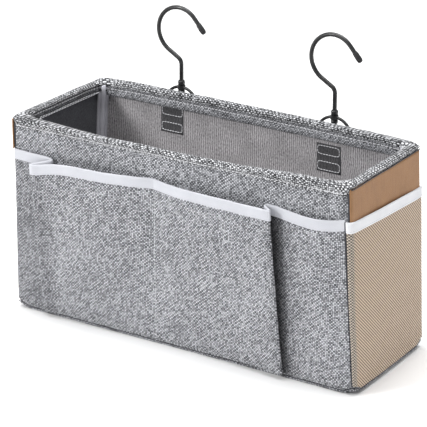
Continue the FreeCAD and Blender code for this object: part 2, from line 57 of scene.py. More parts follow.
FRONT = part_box("outer_front")[0].y
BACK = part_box("outer_back")[1].y
HALF_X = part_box("outer_front")[1].x
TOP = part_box("rim_hem_front")[1].z
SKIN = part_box("outer_front")[1].y - FRONT
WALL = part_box("lining_front")[1].y - FRONT  # outer face to the lining's inner face
FLOOR_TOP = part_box("lining_floor")[1].z
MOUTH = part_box("front_binding_left")[1].z
BINDING_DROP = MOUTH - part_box("front_binding_left")[0].z
POCKET_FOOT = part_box("front_pocket_left")[0].z
SEAM_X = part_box("front_pocket_left")[1].x
BAND_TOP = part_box("leather_band_right")[1].z


# ---------- how the sewn box sits

# A stiffened cloth box is never square: how far each corner is drawn, in mm.  A corner is told by
# left or right, front or back, and foot (0) or top (1).
DRAWN = {
    (-1, -1, 0): (-3.0, 1.0, 0.0),
    (1, -1, 0): (5.0, 1.0, 0.0),
    (-1, 1, 0): (-3.5, -1.0, 0.0),
    (1, 1, 0): (3.5, -1.0, 0.0),
    (-1, -1, 1): (0.0, -2.0, 0.0),
    (1, -1, 1): (-3.0, -2.0, 1.5),
    (-1, 1, 1): (7.0, 2.0, 3.5),
    (1, 1, 1): (-7.0, 2.0, 0.0),
}
BACK_RISE = 3.0*MM  # the hooks lift the back rim
# The front rim is folded lower: how much, between the corners and in the middle, over which
# distances from the middle that fades out, and over which heights it sets in.
FRONT_EASE, EASE_FADES = 1.8*MM, (150*MM, 180*MM)
FRONT_DIP, DIP_FADES, DIP_X = 4.2*MM, (60*MM, 155*MM), -15*MM
FOLD_RISES = (188*MM, 199*MM)
CORNER = 4*MM  # how round the upright corners are
FREE_FROM = 100*MM  # the hooks hold the back wall flat up to here
WAVE = 0.9*MM  # slow unevenness of the boarded walls
TOE_REACH, TOE_LIFT = 12*MM, 5*MM  # the four foot corners are rounded up off the floor


def smooth(low, high, value):
    """0 below low, 1 above high, and an S between."""
    share = np.clip((np.asarray(value, float) - low)/(high - low), 0, 1)
    return share*share*(3 - 2*share)


def wave(u, v, seed):
    """Slow noise over two coordinates in metres, one value for each pair."""
    flat = [noise.noise(Vector((a*11, b*13, seed))) for a, b in zip(np.ravel(u), np.ravel(v))]
    return np.array(flat).reshape(np.shape(u))


def settle(points):
    """Moves points of the square box to where the sewn box has them."""
    p = np.array(points, float)
    x, y, z = p[..., 0], p[..., 1], p[..., 2]
    aside = np.abs(x)
    across = np.clip((x/HALF_X + 1)/2, 0, 1)
    deep = np.clip((y - FRONT)/(BACK - FRONT), 0, 1)
    high = np.clip(z/TOP, 0, 1.05)
    shift = np.zeros_like(p)
    for (sx, sy, top), drawn in DRAWN.items():
        weight = (across if sx > 0 else 1 - across)
        weight = weight*(deep if sy > 0 else 1 - deep)*(high if top else 1 - high)
        shift += weight[..., None]*np.array(drawn)*MM
    rise = np.clip(z/TOP, 0, 1)
    shift[..., 2] += deep*BACK_RISE*(1 - np.clip(aside/HALF_X, 0, 1)**4)*rise**3
    dip = FRONT_EASE*(1 - smooth(*EASE_FADES, aside))
    dip = dip + FRONT_DIP*(1 - smooth(*DIP_FADES, np.abs(x - DIP_X)))
    shift[..., 2] -= (1 - deep)**2*dip*smooth(*FOLD_RISES, z)
    free = smooth(FREE_FROM, HALF_X, aside)
    shift[..., 1] *= 1 - deep*(1 - free)
    swell = WAVE*np.sqrt(np.sin(math.pi*rise))
    shift[..., 1] += swell*(1 - deep)*wave(x, z, 3.1)
    shift[..., 1] += swell*deep*free*wave(x, z, 7.7)
    shift[..., 0] += swell*wave(y, z, 12.4)*np.sign(x)*smooth(0.8*HALF_X, HALF_X, aside)
    toe = smooth(HALF_X - TOE_REACH, HALF_X, aside)*smooth(BACK - TOE_REACH, BACK, np.abs(y))
    shift[..., 2] += TOE_LIFT*toe*(1 - smooth(0, 25*MM, z))
    return p + shift


# ---------- meshes

def add_object(name, data):
    """A new object, linked to the scene."""
    thing = bpy.data.objects.new(name, data)
    bpy.context.scene.collection.objects.link(thing)
    return thing


def make_piece(name, points, faces, material, slot, body="root", cloth=None, replaces=()):
    """A piece from points, faces and each point's place on its cloth, riding on a body."""
    mesh = bpy.data.meshes.new(name)
    mesh.from_pydata([tuple(p) for p in points], [], faces)
    work = bmesh.new()
    work.from_mesh(mesh)
    bmesh.ops.recalc_face_normals(work, faces=work.faces)
    for face in work.faces:
        face.smooth = True
    work.to_mesh(mesh)
    work.free()
    if cloth is not None:
        layer = mesh.attributes.new("cloth", "FLOAT_VECTOR", "POINT")
        layer.data.foreach_set("vector", np.asarray(cloth, np.float32).ravel())
    mesh.materials.append(material)
    piece = add_object(name, mesh)
    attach(piece, body)
    if replaces:
        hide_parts(*replaces)
    return piece


def quads(rows, columns, close_rows=False, close_columns=False):
    """The faces of a grid of points numbered row by row, closed on itself where asked."""
    faces = []
    for i in range(rows if close_rows else rows - 1):
        for j in range(columns if close_columns else columns - 1):
            k, m = (i + 1) % rows, (j + 1) % columns
            faces.append((i*columns + j, k*columns + j, k*columns + m, i*columns + m))
    return faces


def capped(rings, size):
    """The faces of a rod or board made of closed rings of points, with both ends closed."""
    ends = [tuple(range(size))[::-1], tuple(range((rings - 1)*size, rings*size))]
    return quads(rings, size, close_columns=True) + ends


def sheet_parts(face, back, place):
    """Closed cloth between two grids of points (rows, columns, 3) with rounded edges.

    place is each grid point's (u, v, shade) on the cloth.
    """
    bulge = 0.35  # of the edge, as a share of the cloth's thickness
    rows, columns = face.shape[:2]
    count = rows*columns
    faces = []
    for quad in quads(rows, columns):
        faces += [quad, tuple(count + corner for corner in quad[::-1])]
    walk = [(i, 0) for i in range(rows)] + [(rows - 1, j) for j in range(1, columns)]
    walk += [(i, columns - 1) for i in range(rows - 2, -1, -1)]
    walk += [(0, j) for j in range(columns - 2, 0, -1)]
    edge = []
    for k, (i, j) in enumerate(walk):
        inside = min(max(i, 1), rows - 2), min(max(j, 1), columns - 2)
        middle = (face[i, j] + back[i, j])/2
        out = middle - (face[inside] + back[inside])/2
        thick = np.linalg.norm(face[i, j] - back[i, j])
        edge.append(middle + out/max(np.linalg.norm(out), 1e-9)*thick*bulge)
        m = (k + 1) % len(walk)
        a, b = i*columns + j, walk[m][0]*columns + walk[m][1]
        faces.append((a, b, 2*count + m, 2*count + k))
        faces.append((2*count + k, 2*count + m, count + b, count + a))
    points = np.vstack([face.reshape(-1, 3), back.reshape(-1, 3), edge])
    cloth = np.vstack([place.reshape(-1, 3), place.reshape(-1, 3), [place[at] for at in walk]])
    return points, faces, cloth


def grid_normals(grid):
    """The unit normal at each point of a grid."""
    normal = np.cross(np.gradient(grid, axis=0), np.gradient(grid, axis=1))
    return normal/np.maximum(np.linalg.norm(normal, axis=-1, keepdims=True), 1e-9)


def run_along(line):
    """How far along an open line each of its points is."""
    return np.concatenate([[0], np.cumsum(np.linalg.norm(np.diff(line, axis=0), axis=1))])


def lay_flat(grid, shade=0.0):
    """Each grid point's u from the first row, v from the middle column, and how deep in shade it is."""
    middle = grid.shape[1]//2
    v = np.array([run_along(row) for row in grid])
    place = np.zeros(grid.shape)
    place[..., 0] = run_along(grid[:, middle])[:, None]
    place[..., 1] = v - v[:, middle][:, None]
    place[..., 2] = shade
    return place


def cloth_piece(name, grid, thick, material, slot, shade=0.0, centred=False, **how):
    """A sheet of even thickness.  The grid is its outer face, or its middle if centred."""
    normal = grid_normals(grid)
    ahead, behind = (thick/2, thick/2) if centred else (0.0, thick)
    place = lay_flat(grid, shade)
    points, faces, cloth = sheet_parts(grid + normal*ahead, grid - normal*behind, place)
    return make_piece(name, points, faces, material, slot, cloth=cloth, **how)


def rounded(points, times=3):
    """Cuts the corners of an open line of points, keeping its ends."""
    line = np.array(points, float)
    for _ in range(times):
        near = line[:-1]*0.75 + line[1:]*0.25
        far = line[:-1]*0.25 + line[1:]*0.75
        line = np.vstack([line[:1], np.stack([near, far], 1).reshape(-1, line.shape[1]), line[-1:]])
    return line


# ---------- shader nodes

class Shader:
    """A material and short ways to add nodes to it.  Lengths in its textures are millimetres."""

    def __init__(self, name, roughness, **sockets):
        self.material = bpy.data.materials.new(name)
        self.material.use_nodes = True
        self.tree = self.material.node_tree
        self.surface = self.tree.nodes["Principled BSDF"]
        self.surface.inputs["Roughness"].default_value = roughness
        for socket, value in sockets.items():
            self.surface.inputs[socket.replace("_", " ")].default_value = value

    def feed(self, socket, value):
        """Links a socket to another node's output, or sets it to a constant."""
        if hasattr(value, "is_linked"):
            self.tree.links.new(value, socket)
        else:
            socket.default_value = value

    def node(self, kind, inputs=(), **settings):
        """A new node, with its settings made and its inputs fed."""
        node = self.tree.nodes.new("ShaderNode" + kind)
        for key, value in settings.items():
            setattr(node, key, value)
        for socket, value in dict(inputs).items():
            self.feed(node.inputs[socket], value)
        return node

    def math(self, operation, *values):
        return self.node("Math", enumerate(values), operation=operation).outputs[0]

    def times(self, value, factor):
        return self.math("MULTIPLY", value, factor)

    def sine(self, value, factor):
        return self.math("SINE", self.times(value, factor))

    def total(self, start, *terms):
        """start plus each term's value times its weight."""
        for value, weight in terms:
            start = self.math("MULTIPLY_ADD", value, weight, start)
        return start

    def mix(self, share, low, high):
        """low where share is 0, high where it is 1."""
        return self.node("Mix", {0: share, 2: low, 3: high}).outputs[0]

    def mix_colours(self, share, low, high):
        return self.node("Mix", {0: share, 6: low, 7: high}, data_type="RGBA").outputs[2]

    def cloth(self):
        """u and v on the cloth, and both as a vector."""
        node = self.node("Attribute", attribute_name="cloth")
        split = self.node("SeparateXYZ", {0: node.outputs["Vector"]})
        self.shade = split.outputs[2]
        u, v = [self.times(split.outputs[k], 1/MM) for k in range(2)]
        return u, v, self.vector(u, v)

    def shaded(self, colour):
        """Painted shade: the colour, darkened to nearly black where the cloth lies deep in a fold."""
        return self.mix_colours(self.shade, colour, (0.008, 0.008, 0.011, 1))

    def vector(self, x, y, z=0.0):
        return self.node("CombineXYZ", enumerate((x, y, z))).outputs[0]

    def solid(self):
        """The place in the piece's own space."""
        place = self.node("TexCoord").outputs["Object"]
        return self.node("VectorMath", {0: place, "Scale": 1/MM}, operation="SCALE").outputs[0]

    def noise(self, vector, scale, detail=2.0, rough=0.5):
        """Noise whose grains are about 1/scale wide."""
        settings = {"Vector": vector, "Scale": scale, "Detail": detail, "Roughness": rough}
        return self.node("TexNoise", settings).outputs[0]

    def ramp(self, value, *stops):
        """Colours (position, (r, g, b)) along a value."""
        node = self.node("ValToRGB", {0: value})
        band = node.color_ramp
        while len(band.elements) < len(stops):
            band.elements.new(0.5)
        for element, (place, colour) in zip(band.elements, stops):
            element.position = place
            element.color = (*colour, 1)
        return node.outputs[0]

    def colour(self, value):
        self.feed(self.surface.inputs["Base Color"], value)

    def rough(self, value, low, high):
        node = self.node("MapRange", {"Value": value, "To Min": low, "To Max": high})
        self.feed(self.surface.inputs["Roughness"], node.outputs[0])

    def bump(self, height, depth, strength=1.0):
        node = self.node("Bump", {"Strength": strength, "Distance": depth*MM, "Height": height})
        self.feed(self.surface.inputs["Normal"], node.outputs[0])

    def weave(self, u, v, pitch_u, pitch_v):
        """Plain weave: (height, a number for each crossing, which yarn is on top)."""
        x, y = self.math("DIVIDE", u, pitch_u), self.math("DIVIDE", v, pitch_v)
        column, row = self.math("FLOOR", x), self.math("FLOOR", y)
        keep_positive = 4000.0
        number = self.math("ADD", self.math("ADD", column, row), keep_positive)
        over = self.math("MODULO", number, 2.0)
        arch = [self.sine(self.math("FRACT", t), math.pi) for t in (x, y)]
        upright = self.times(arch[0], self.total(0.5, (arch[1], 0.5)))
        lying = self.times(arch[1], self.total(0.5, (arch[0], 0.5)))
        cell = self.vector(column, row, over)
        crossing = self.node("TexWhiteNoise", {"Vector": cell}, noise_dimensions="3D")
        return self.mix(over, upright, lying), crossing.outputs["Value"], over


# ---------- materials

def linen(name, dark, mid, light, pitch=1.7, depth=0.4, contrast=0.29):
    """Coarse heathered canvas: a plain weave of uneven dark and pale yarns."""
    s = Shader(name, 0.9, Sheen_Weight=0.2, Sheen_Roughness=0.5, Specular_IOR_Level=0.2)
    u, v, place = s.cloth()
    drift = s.noise(place, 0.03)
    height, crossing, over = s.weave(s.total(u, (drift, 5.0)), s.total(v, (drift, -5.0)),
                                     pitch, pitch*0.94)
    along, thin = 0.3, 1.2  # slubs are stretched along their yarn
    lying = s.noise(s.vector(s.times(u, along), s.times(v, thin)), 1.0, 2.0, 0.6)
    standing = s.noise(s.vector(s.times(u, thin), s.times(v, along)), 1.0, 2.0, 0.6)
    slub = s.mix(over, standing, lying)
    fibres = s.noise(place, 2.2, 2.0, 0.6)
    cloudy = s.noise(place, 0.014)
    tone = s.total(-0.523, (crossing, 0.40), (over, 0.26), (slub, 0.12), (fibres, 0.34),
                   (height, 0.56), (cloudy, 0.16))
    middle = 0.46
    s.colour(s.shaded(s.ramp(tone, (middle - contrast, dark), (middle, mid), (middle + contrast, light))))
    s.rough(fibres, 0.82, 0.98)
    s.bump(s.total(height, (fibres, 0.3)), depth)
    return s.material


def twill():
    """Beige two-tone twill with slanting wales, and a checked selvedge where u is small."""
    s = Shader("twill_beige", 0.85, Sheen_Weight=0.2, Sheen_Roughness=0.5, Specular_IOR_Level=0.2)
    wale_width, nub_rate, check_rate = 2.3, 2.4, 2.3
    check_ends, twill_starts = 4.5, 8.0
    u, v, place = s.cloth()
    slant = s.total(s.times(v, 0.73), (u, 0.68))
    ridge = s.sine(s.math("FRACT", s.math("DIVIDE", slant, wale_width)), math.pi)
    nubs = s.sine(s.math("SUBTRACT", u, v), nub_rate)
    uneven = s.noise(place, 0.7, 3.0, 0.6)
    tone = s.total(-0.18, (ridge, 0.85), (nubs, 0.07), (uneven, 0.36))
    ground = s.ramp(tone, (0.20, (0.095, 0.062, 0.040)), (0.50, (0.335, 0.250, 0.182)),
                    (0.84, (0.650, 0.522, 0.405)))
    check = s.times(s.sine(u, check_rate), s.sine(v, check_rate))
    checked = s.ramp(s.total(0.5, (check, 0.5)), (0.20, (0.035, 0.032, 0.030)),
                     (0.50, (0.29, 0.25, 0.21)), (0.80, (0.60, 0.53, 0.45)))
    edge = s.node("MapRange", {"Value": u, "From Min": check_ends, "From Max": twill_starts},
                  interpolation_type="SMOOTHSTEP")
    s.colour(s.mix_colours(edge.outputs[0], checked, ground))
    s.rough(uneven, 0.75, 0.95)
    s.bump(s.total(ridge, (nubs, 0.15)), 0.35)
    return s.material


def ribbed(name, dark, light, pitch=2.2):
    """Dark lining with fine upright ribs."""
    s = Shader(name, 0.88, Sheen_Weight=0.1, Specular_IOR_Level=0.25)
    u, v, place = s.cloth()
    sway = s.noise(place, 0.10)
    rib = s.sine(s.total(u, (sway, 3.0)), 2*math.pi/pitch)
    broken = s.noise(s.vector(u, s.times(v, 0.45)), 0.95, 3.0, 0.7)
    patch = s.noise(place, 0.045)
    tone = s.total(-0.15, (s.times(rib, patch), 0.30), (broken, 1.15), (patch, 0.25))
    s.colour(s.ramp(tone, (0.15, dark), (0.85, light)))
    s.rough(broken, 0.8, 0.95)
    s.bump(s.total(rib, (broken, 0.5)), 0.2)
    return s.material


def tape(name, dark, light, pitch=0.9, depth=0.12):
    """Woven tape with fine cross ribs."""
    s = Shader(name, 0.8, Sheen_Weight=0.15, Specular_IOR_Level=0.3)
    u, _, place = s.cloth()
    rib = s.sine(u, 2*math.pi/pitch)
    grain = s.noise(place, 1.1, 3.0, 0.6)
    soft = s.noise(place, 0.05)
    tone = s.total(0.30, (rib, 0.10), (grain, 0.30), (soft, 0.35))
    s.colour(s.shaded(s.ramp(tone, (0.25, dark), (0.75, light))))
    s.rough(grain, 0.7, 0.9)
    s.bump(s.total(rib, (grain, 0.6)), depth)
    return s.material


def leatherette():
    """Tan pressed leatherette: pebble grain, faint upright streaks and soft blotches."""
    s = Shader("leatherette_tan", 0.5, Specular_IOR_Level=0.3)
    u, v, place = s.cloth()
    cells = s.node("TexVoronoi", {"Vector": place, "Scale": 1.1}, feature="DISTANCE_TO_EDGE")
    grain = s.math("MINIMUM", s.times(cells.outputs[0], 3.5), 1.0)
    streak = s.noise(s.vector(u, s.times(v, 0.12)), 0.35, 4.0, 0.65)
    blotch = s.noise(place, 0.05, 3.0)
    tone = s.total(0.0, (blotch, 0.35), (streak, 0.55), (grain, 0.14))
    s.colour(s.ramp(tone, (0.20, (0.200, 0.101, 0.043)), (0.50, (0.300, 0.157, 0.070)),
                    (0.85, (0.366, 0.203, 0.098))))
    s.rough(streak, 0.42, 0.62)
    s.bump(grain, 0.10, 0.7)
    return s.material


def board():
    """Greyboard: felted grey fibre, hidden inside the walls."""
    s = Shader("greyboard", 0.95)
    tone = s.noise(s.solid(), 0.5, 4.0, 0.7)
    s.colour(s.ramp(tone, (0.3, (0.30, 0.285, 0.26)), (0.7, (0.42, 0.40, 0.37))))
    s.bump(tone, 0.1)
    return s.material


def lacquer(name, base, roughness):
    """Baked black lacquer: faint orange peel and rubbed patches."""
    s = Shader(name, roughness, Specular_IOR_Level=0.5, Coat_Weight=0.15)
    place = s.solid()
    peel = s.noise(place, 1.6)
    rubbed = s.noise(place, 0.12, 3.0, 0.6)
    s.colour(s.ramp(rubbed, (0.35, base), (0.75, [c*1.9 + 0.004 for c in base])))
    s.rough(rubbed, roughness - 0.06, roughness + 0.12)
    s.bump(peel, 0.05, 0.5)
    return s.material


def thread(name, dark, light):
    """Twisted sewing thread."""
    s = Shader(name, 0.6, Sheen_Weight=0.2)
    twist = s.noise(s.solid(), 2.4)
    s.colour(s.ramp(twist, (0.3, dark), (0.7, light)))
    s.bump(twist, 0.08)
    return s.material


LINEN = linen("linen_grey", (0.030, 0.031, 0.036), (0.285, 0.292, 0.312), (0.70, 0.71, 0.75))
LINEN_RIM = linen("linen_rim", (0.005, 0.005, 0.007), (0.180, 0.185, 0.196), (0.80, 0.81, 0.84),
                  2.1, 0.7, 0.235)
# a darker copy of the rim's linen: painted shade on the rim's inner leg at the left end
LINEN_SHADE = linen("linen_shade", (0.006, 0.006, 0.008), (0.062, 0.064, 0.072),
                    (0.24, 0.245, 0.26), 2.1, 0.6)
TWILL = twill()
LINING = ribbed("lining_dark", (0.028, 0.026, 0.028), (0.720, 0.695, 0.715))
# a darker, finer cloth for the end walls, its darkness partly painted shade
LINING_END = ribbed("lining_end", (0.034, 0.036, 0.043), (0.150, 0.155, 0.175), 1.3)
LINING_INSERT = ribbed("lining_insert", (0.030, 0.030, 0.033), (0.300, 0.295, 0.305))
# a dark facing cloth, its darkness painted shade of the stitched frames' dimples
FACING_AND_SHADE = ribbed("lining_facing_and_shade", (0.020, 0.020, 0.023), (0.14, 0.138, 0.145), 1.6)
CORNER_TAPE = tape("corner_tape", (0.48, 0.48, 0.53), (0.88, 0.88, 0.95), 1.4)
BINDING = tape("binding_white", (0.50, 0.51, 0.56), (0.68, 0.69, 0.735))
# a brighter copy of the white binding for the end pockets: painted light
BINDING_PAINTED_LIGHT = tape("binding_end_painted_light", (0.66, 0.67, 0.71), (0.86, 0.87, 0.90))
WEBBING = tape("webbing_grey", (0.045, 0.046, 0.05), (0.12, 0.122, 0.13), 1.6, 0.3)
LEATHER = leatherette()
BOARD = board()
WIRE = lacquer("lacquered_wire", (0.009, 0.0095, 0.010), 0.36)
CAP = lacquer("dipped_cap", (0.008, 0.008, 0.009), 0.5)
THREAD = thread("thread_white", (0.55, 0.55, 0.58), (0.85, 0.85, 0.88))
BINDING_THREAD = thread("binding_thread", (0.48, 0.49, 0.54), (0.66, 0.67, 0.71))
SEAM_THREAD = thread("seam_thread", (0.52, 0.53, 0.56), (0.80, 0.81, 0.84))
# near-black seam beads: seam colour and painted shade of the grooves they lie in
SEAM_AND_SHADE = thread("seam_and_groove_shade", (0.006, 0.006, 0.010), (0.020, 0.021, 0.034))


# ---------- walls

OVER_FLOOR = 0.6*MM  # where the cloth of the walls starts
UNDER_RIM = 10.5*MM  # and how far under the rim's top it ends


def wall_plan(face_y, turn):
    """A long wall's line in plan, from left to right, with its ends turned round the corners."""
    a = spread(0, math.pi/2, 7)
    left = np.column_stack([CORNER*(1 - np.cos(a)) - HALF_X, face_y + turn*CORNER*(1 - np.sin(a))])
    right = (left*(-1, 1))[::-1]
    return np.vstack([left, spread(left[-1], right[0], 46)[1:-1], right])


def end_plan(offset, wrap):
    """An end wall's line in plan, front to back, standing off by offset and wrapping the corners."""
    a, radius = spread(wrap, 0, 6), CORNER + offset
    front = np.column_stack([HALF_X - CORNER + radius*np.cos(a), FRONT + CORNER - radius*np.sin(a)])
    back = (front*(1, -1) + (0, FRONT + BACK))[::-1]
    return np.vstack([front, spread(front[-1], back[0], 22)[1:-1], back])


def upright(plan, foot, head, rows=26):
    """A grid that carries a plan line from foot to head."""
    grid = np.zeros((len(plan), rows, 3))
    grid[..., :2] = plan[:, None]
    grid[..., 2] = spread(foot, head, rows)
    return grid


def plane_grid(low, high, thin, at, counts):
    """A flat grid of points across a box, at one place along the axis where the box is thin."""
    a, b = [axis for axis in range(3) if axis != thin]
    grid = np.full((*counts, 3), float(at))
    grid[..., a] = spread(low[a], high[a], counts[0])[:, None]
    grid[..., b] = spread(low[b], high[b], counts[1])
    return grid


def mirrored(plan, sign):
    """The plan of the right end for sign 1, and of the left end for -1, with its face outward."""
    return plan if sign > 0 else (plan*(-1, 1))[::-1]


def make_outer_walls():
    """The linen on the four sides; the long walls carry a little painted shade at their right corners."""
    plans = {
        "front": wall_plan(FRONT, 1),
        "back": wall_plan(BACK, -1)[::-1],
        "left": mirrored(end_plan(-0.1*MM, math.radians(15)), -1),
        "right": end_plan(-0.1*MM, math.radians(15)),
    }
    for side, plan in plans.items():
        grid = settle(upright(plan, OVER_FLOOR, TOP - UNDER_RIM))
        shade = 0.0 if side in SIDES else 0.35*smooth(HALF_X - 16*MM, HALF_X - 4*MM, grid[..., 0])
        cloth_piece(f"outer_{side}_cloth", grid, SKIN, LINEN, "linen", replaces=["outer_" + side],
                    shade=shade)


def make_bottom():
    """The linen under the box, and the lining on its floor."""
    inset = 0.4*MM
    skin = plane_grid((inset - HALF_X, FRONT + inset), (HALF_X - inset, BACK - inset), 2, SKIN, (48, 24))
    cloth_piece("outer_bottom_cloth", settle(skin), SKIN, LINEN, "linen", replaces=["outer_bottom"])
    low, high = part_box("lining_floor")
    inset = Vector((MM, 0, 0))
    floor = plane_grid(low + inset, high - inset, 2, high.z, (24, 12))
    cloth_piece("lining_floor_cloth", settle(floor), high.z - low.z, LINING, "lining",
                replaces=["lining_floor"])


def make_boards():
    """The hidden stiffeners, drawn with the cloth so that no edge shows through it."""
    inset, shaved, step = Vector((0.6*MM, 0.6*MM, 0)), 0.2*MM, 8*MM
    for wall in ("front", "back", "left", "right", "floor"):
        low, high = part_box("board_" + wall)
        low, high = low + inset, high - inset
        thin = min(range(3), key=lambda axis: high[axis] - low[axis])
        counts = [int((high[axis] - low[axis])/step) for axis in range(3) if axis != thin]
        near = plane_grid(low, high, thin, low[thin] + shaved, counts)
        far = plane_grid(low, high, thin, high[thin] - shaved, counts)
        points, faces, cloth = sheet_parts(settle(near), settle(far), lay_flat(near))
        make_piece(f"board_{wall}_sheet", points, faces, BOARD, "greyboard", cloth=cloth,
                   replaces=["board_" + wall])


def box_loop(half_x, low_y, high_y, radius):
    """A rounded rectangle in plan, anticlockwise from the front left, as a closed line."""
    corners = [(-half_x, low_y, 180), (half_x, low_y, 270), (half_x, high_y, 0), (-half_x, high_y, 90)]
    arcs = []
    for x, y, start in corners:
        turn = np.radians(spread(start, start + 90, 7))
        centre = np.array([x - math.copysign(radius, x), y - math.copysign(radius, y)])
        arcs.append(centre + radius*np.column_stack([np.cos(turn), np.sin(turn)]))
    line = []
    for arc, following, count in zip(arcs, arcs[1:] + arcs[:1], (44, 20, 44, 20)):
        line += [arc, spread(arc[-1], following[0], count)[1:-1]]
    return np.vstack(line)


def make_lining():
    """The inner lining: ribbed cloth on the long walls, and on the ends a darker, more finely ribbed cloth
    whose darkness is partly painted shade.
    """
    thick, swell = 0.8*MM, 0.25*MM
    x, y = HALF_X - WALL, BACK - WALL
    short_x, short_y = x - 3*MM, y - 1*MM
    plans = {
        "front": spread((short_x, -y), (-short_x, -y), 60),
        "back": spread((-short_x, y), (short_x, y), 60),
        "left": spread((-x, -short_y), (-x, short_y), 24),
        "right": spread((x, short_y), (x, -short_y), 24),
    }
    for side, plan in plans.items():
        grid = settle(upright(plan, FLOOR_TOP - 0.5*MM, TOP - 4*MM, 24))
        uneven = wave(grid[..., 0]*3, grid[..., 2]*3 + grid[..., 1], 4.4)
        grid = grid + grid_normals(grid)*swell*uneven[..., None]
        cloth_piece(f"lining_{side}_cloth", grid, thick, LINING_END if side in SIDES else LINING,
                    "lining", replaces=["lining_" + side])


# A corner tape in plan: (along each wall from the corner, off the wall), in mm.
ROLL = [(0.0, 7.6), (1.2, 7.0), (1.5, 6.2), (1.3, 5.4), (3.2, 5.8), (5.0, 5.0),
        (5.8, 3.2), (5.4, 1.3), (6.2, 1.5), (7.0, 1.2), (7.6, 0.0)]
OVER_HEM = 2.4*MM  # how far the tape stands off to pass over the hem
TAPE_SHADE = 0.32  # painted towards both edges of the tape


def make_corner_rolls():
    """A soft roll of tape down each inner corner, passing over the hem at its head."""
    corner = np.array([HALF_X - WALL, BACK - WALL])
    points, faces, cloth = [], [], []
    for sx in (-1, 1):
        for sy in (-1, 1):
            plan = (corner - rounded(np.array(ROLL)*MM, 2))*(sx, sy)
            grid = upright(plan[::-1] if sx*sy < 0 else plan, FLOOR_TOP, TOP - 5*MM, 30)
            off = OVER_HEM*smooth(TOP - 26*MM, TOP - 16*MM, grid[..., 2])
            grid[..., 0] -= sx*off
            grid[..., 1] -= sy*off
            grid = settle(grid)
            normal = grid_normals(grid)
            place = lay_flat(grid, TAPE_SHADE*spread(-1, 1, len(grid))[:, None]**2)
            part = sheet_parts(grid + normal*0.5*MM, grid - normal*0.3*MM, place)
            start = sum(len(p) for p in points)
            faces += [tuple(i + start for i in face) for face in part[1]]
            points.append(part[0])
            cloth.append(part[2])
    make_piece("corner_tape_rolls", np.vstack(points), faces, CORNER_TAPE, "tape", cloth=np.vstack(cloth),
               replaces=["corner_tapes"])


# ---------- rim

# The rim in section, in mm: in from the outer face, up from the rim's top, and which leg it is.
RIM_SECTION = [
    (0.3, -12.4, "out"), (-0.6, -12.2, "out"), (-1.0, -11.2, "out"), (-0.1, -9.9, "out"),
    (-1.1, -8.6, "out"), (-1.6, -6.0, "out"), (-1.4, -3.2, "top"), (-0.3, -1.1, "top"),
    (1.5, -0.1, "top"), (3.4, 0.2, "top"), (5.4, -0.1, "top"), (7.2, -1.1, "top"),
    (8.2, -3.0, "top"), (8.3, -5.4, "in"), (7.6, -7.6, "in"), (6.9, -8.8, "in"), (7.9, -9.9, "in"),
    (8.2, -11.8, "in"), (8.0, -14.6, "in"), (7.6, -16.0, "in"), (6.5, -16.4, "in"), (6.1, -15.2, "in"),
    (6.0, -10.0, "in"), (5.7, -3.0, "top"), (3.4, -2.6, "top"), (1.4, -3.0, "top"), (1.0, -9.5, "out"),
]
LIP = 0.5  # on the ends the outer leg is a lip over the leatherette
SHORT = 0.68  # and the inner leg is shorter
PROUD = 1.25  # and what stands proud of the wall stands prouder
RIM_ACROSS = WALL + 1.5*MM


def rim_lines():
    """The rim's outer and inner lines in plan, and how much each station belongs to an end."""
    outer = box_loop(HALF_X, FRONT, BACK, 7*MM)
    inner = box_loop(HALF_X - RIM_ACROSS, FRONT + RIM_ACROSS, BACK - RIM_ACROSS, 13*MM)
    ahead = np.roll(outer, -1, 0) - np.roll(outer, 1, 0)
    ahead /= np.linalg.norm(ahead, axis=1, keepdims=True)
    return outer, inner, smooth(0.3, 0.9, np.abs(ahead[:, 1]))


def rim_points(section):
    """Where the points of a section lie all round the rim."""
    outer, inner, end = rim_lines()
    scales = {"out": 1 - end*(1 - LIP), "in": 1 - end*(1 - SHORT), "top": np.ones_like(end)}
    at_hooks = smooth(0.8*BACK, BACK, outer[:, 1])*(1 - smooth(110*MM, 140*MM, np.abs(outer[:, 0])))
    points = np.zeros((len(outer), len(section), 3))
    for j, (across, up, leg) in enumerate(section):
        share = across*MM/RIM_ACROSS*np.ones_like(end)
        if across < 0:
            share = share*(1 + (PROUD - 1)*end)*(1 - 0.7*at_hooks)
        points[:, j, :2] = outer + (inner - outer)*share[:, None]
        points[:, j, 2] = TOP + up*MM*scales[leg]
    points[..., 2] += 0.5*MM*wave(points[..., 0]*4, points[..., 1]*4, 21.5) - 0.2*MM
    return settle(points)


def rim_line(across, up, leg):
    """One line all round the rim, at one point of its section."""
    return rim_points([(across, up, leg)])[:, 0]


def make_rim():
    """The folded hem: one roll of linen round the top, pinched in by its stitching."""
    points = rim_points(RIM_SECTION)
    rows, columns = points.shape[:2]
    section = np.array([point[:2] for point in RIM_SECTION])*MM
    cloth = np.zeros((rows, columns, 3))
    cloth[..., 0], cloth[..., 1] = run_along(rim_lines()[0])[:, None], run_along(section)
    faces = quads(rows, columns, close_rows=True, close_columns=True)
    piece = make_piece("rim_hem", points.reshape(-1, 3), faces, LINEN_RIM, "linen",
                       cloth=cloth.reshape(-1, 3),
                       replaces=["rim_hem_front", "rim_hem_right", "rim_hem_back", "rim_hem_left"])
    piece.data.materials.append(LINEN_SHADE)
    piece.data.materials.append(LINEN)
    shaded, pale = 1, 2  # the numbers of those two
    near, facing = 25*MM, 0.75
    # the inner leg gets painted shade at the left end (the darker linen) and painted light at the back (the
    # paler wall linen)
    for number, face in enumerate(piece.data.polygons):
        if RIM_SECTION[number % columns][2] != "in":
            continue
        if face.center.x < near - HALF_X and face.normal.x > facing:
            face.material_index = shaded
        elif face.center.y > BACK - near and face.normal.y < -facing:
            face.material_index = pale
    smoother = piece.modifiers.new("soft", "SUBSURF")
    smoother.levels = smoother.render_levels = 1


# ---------- pockets

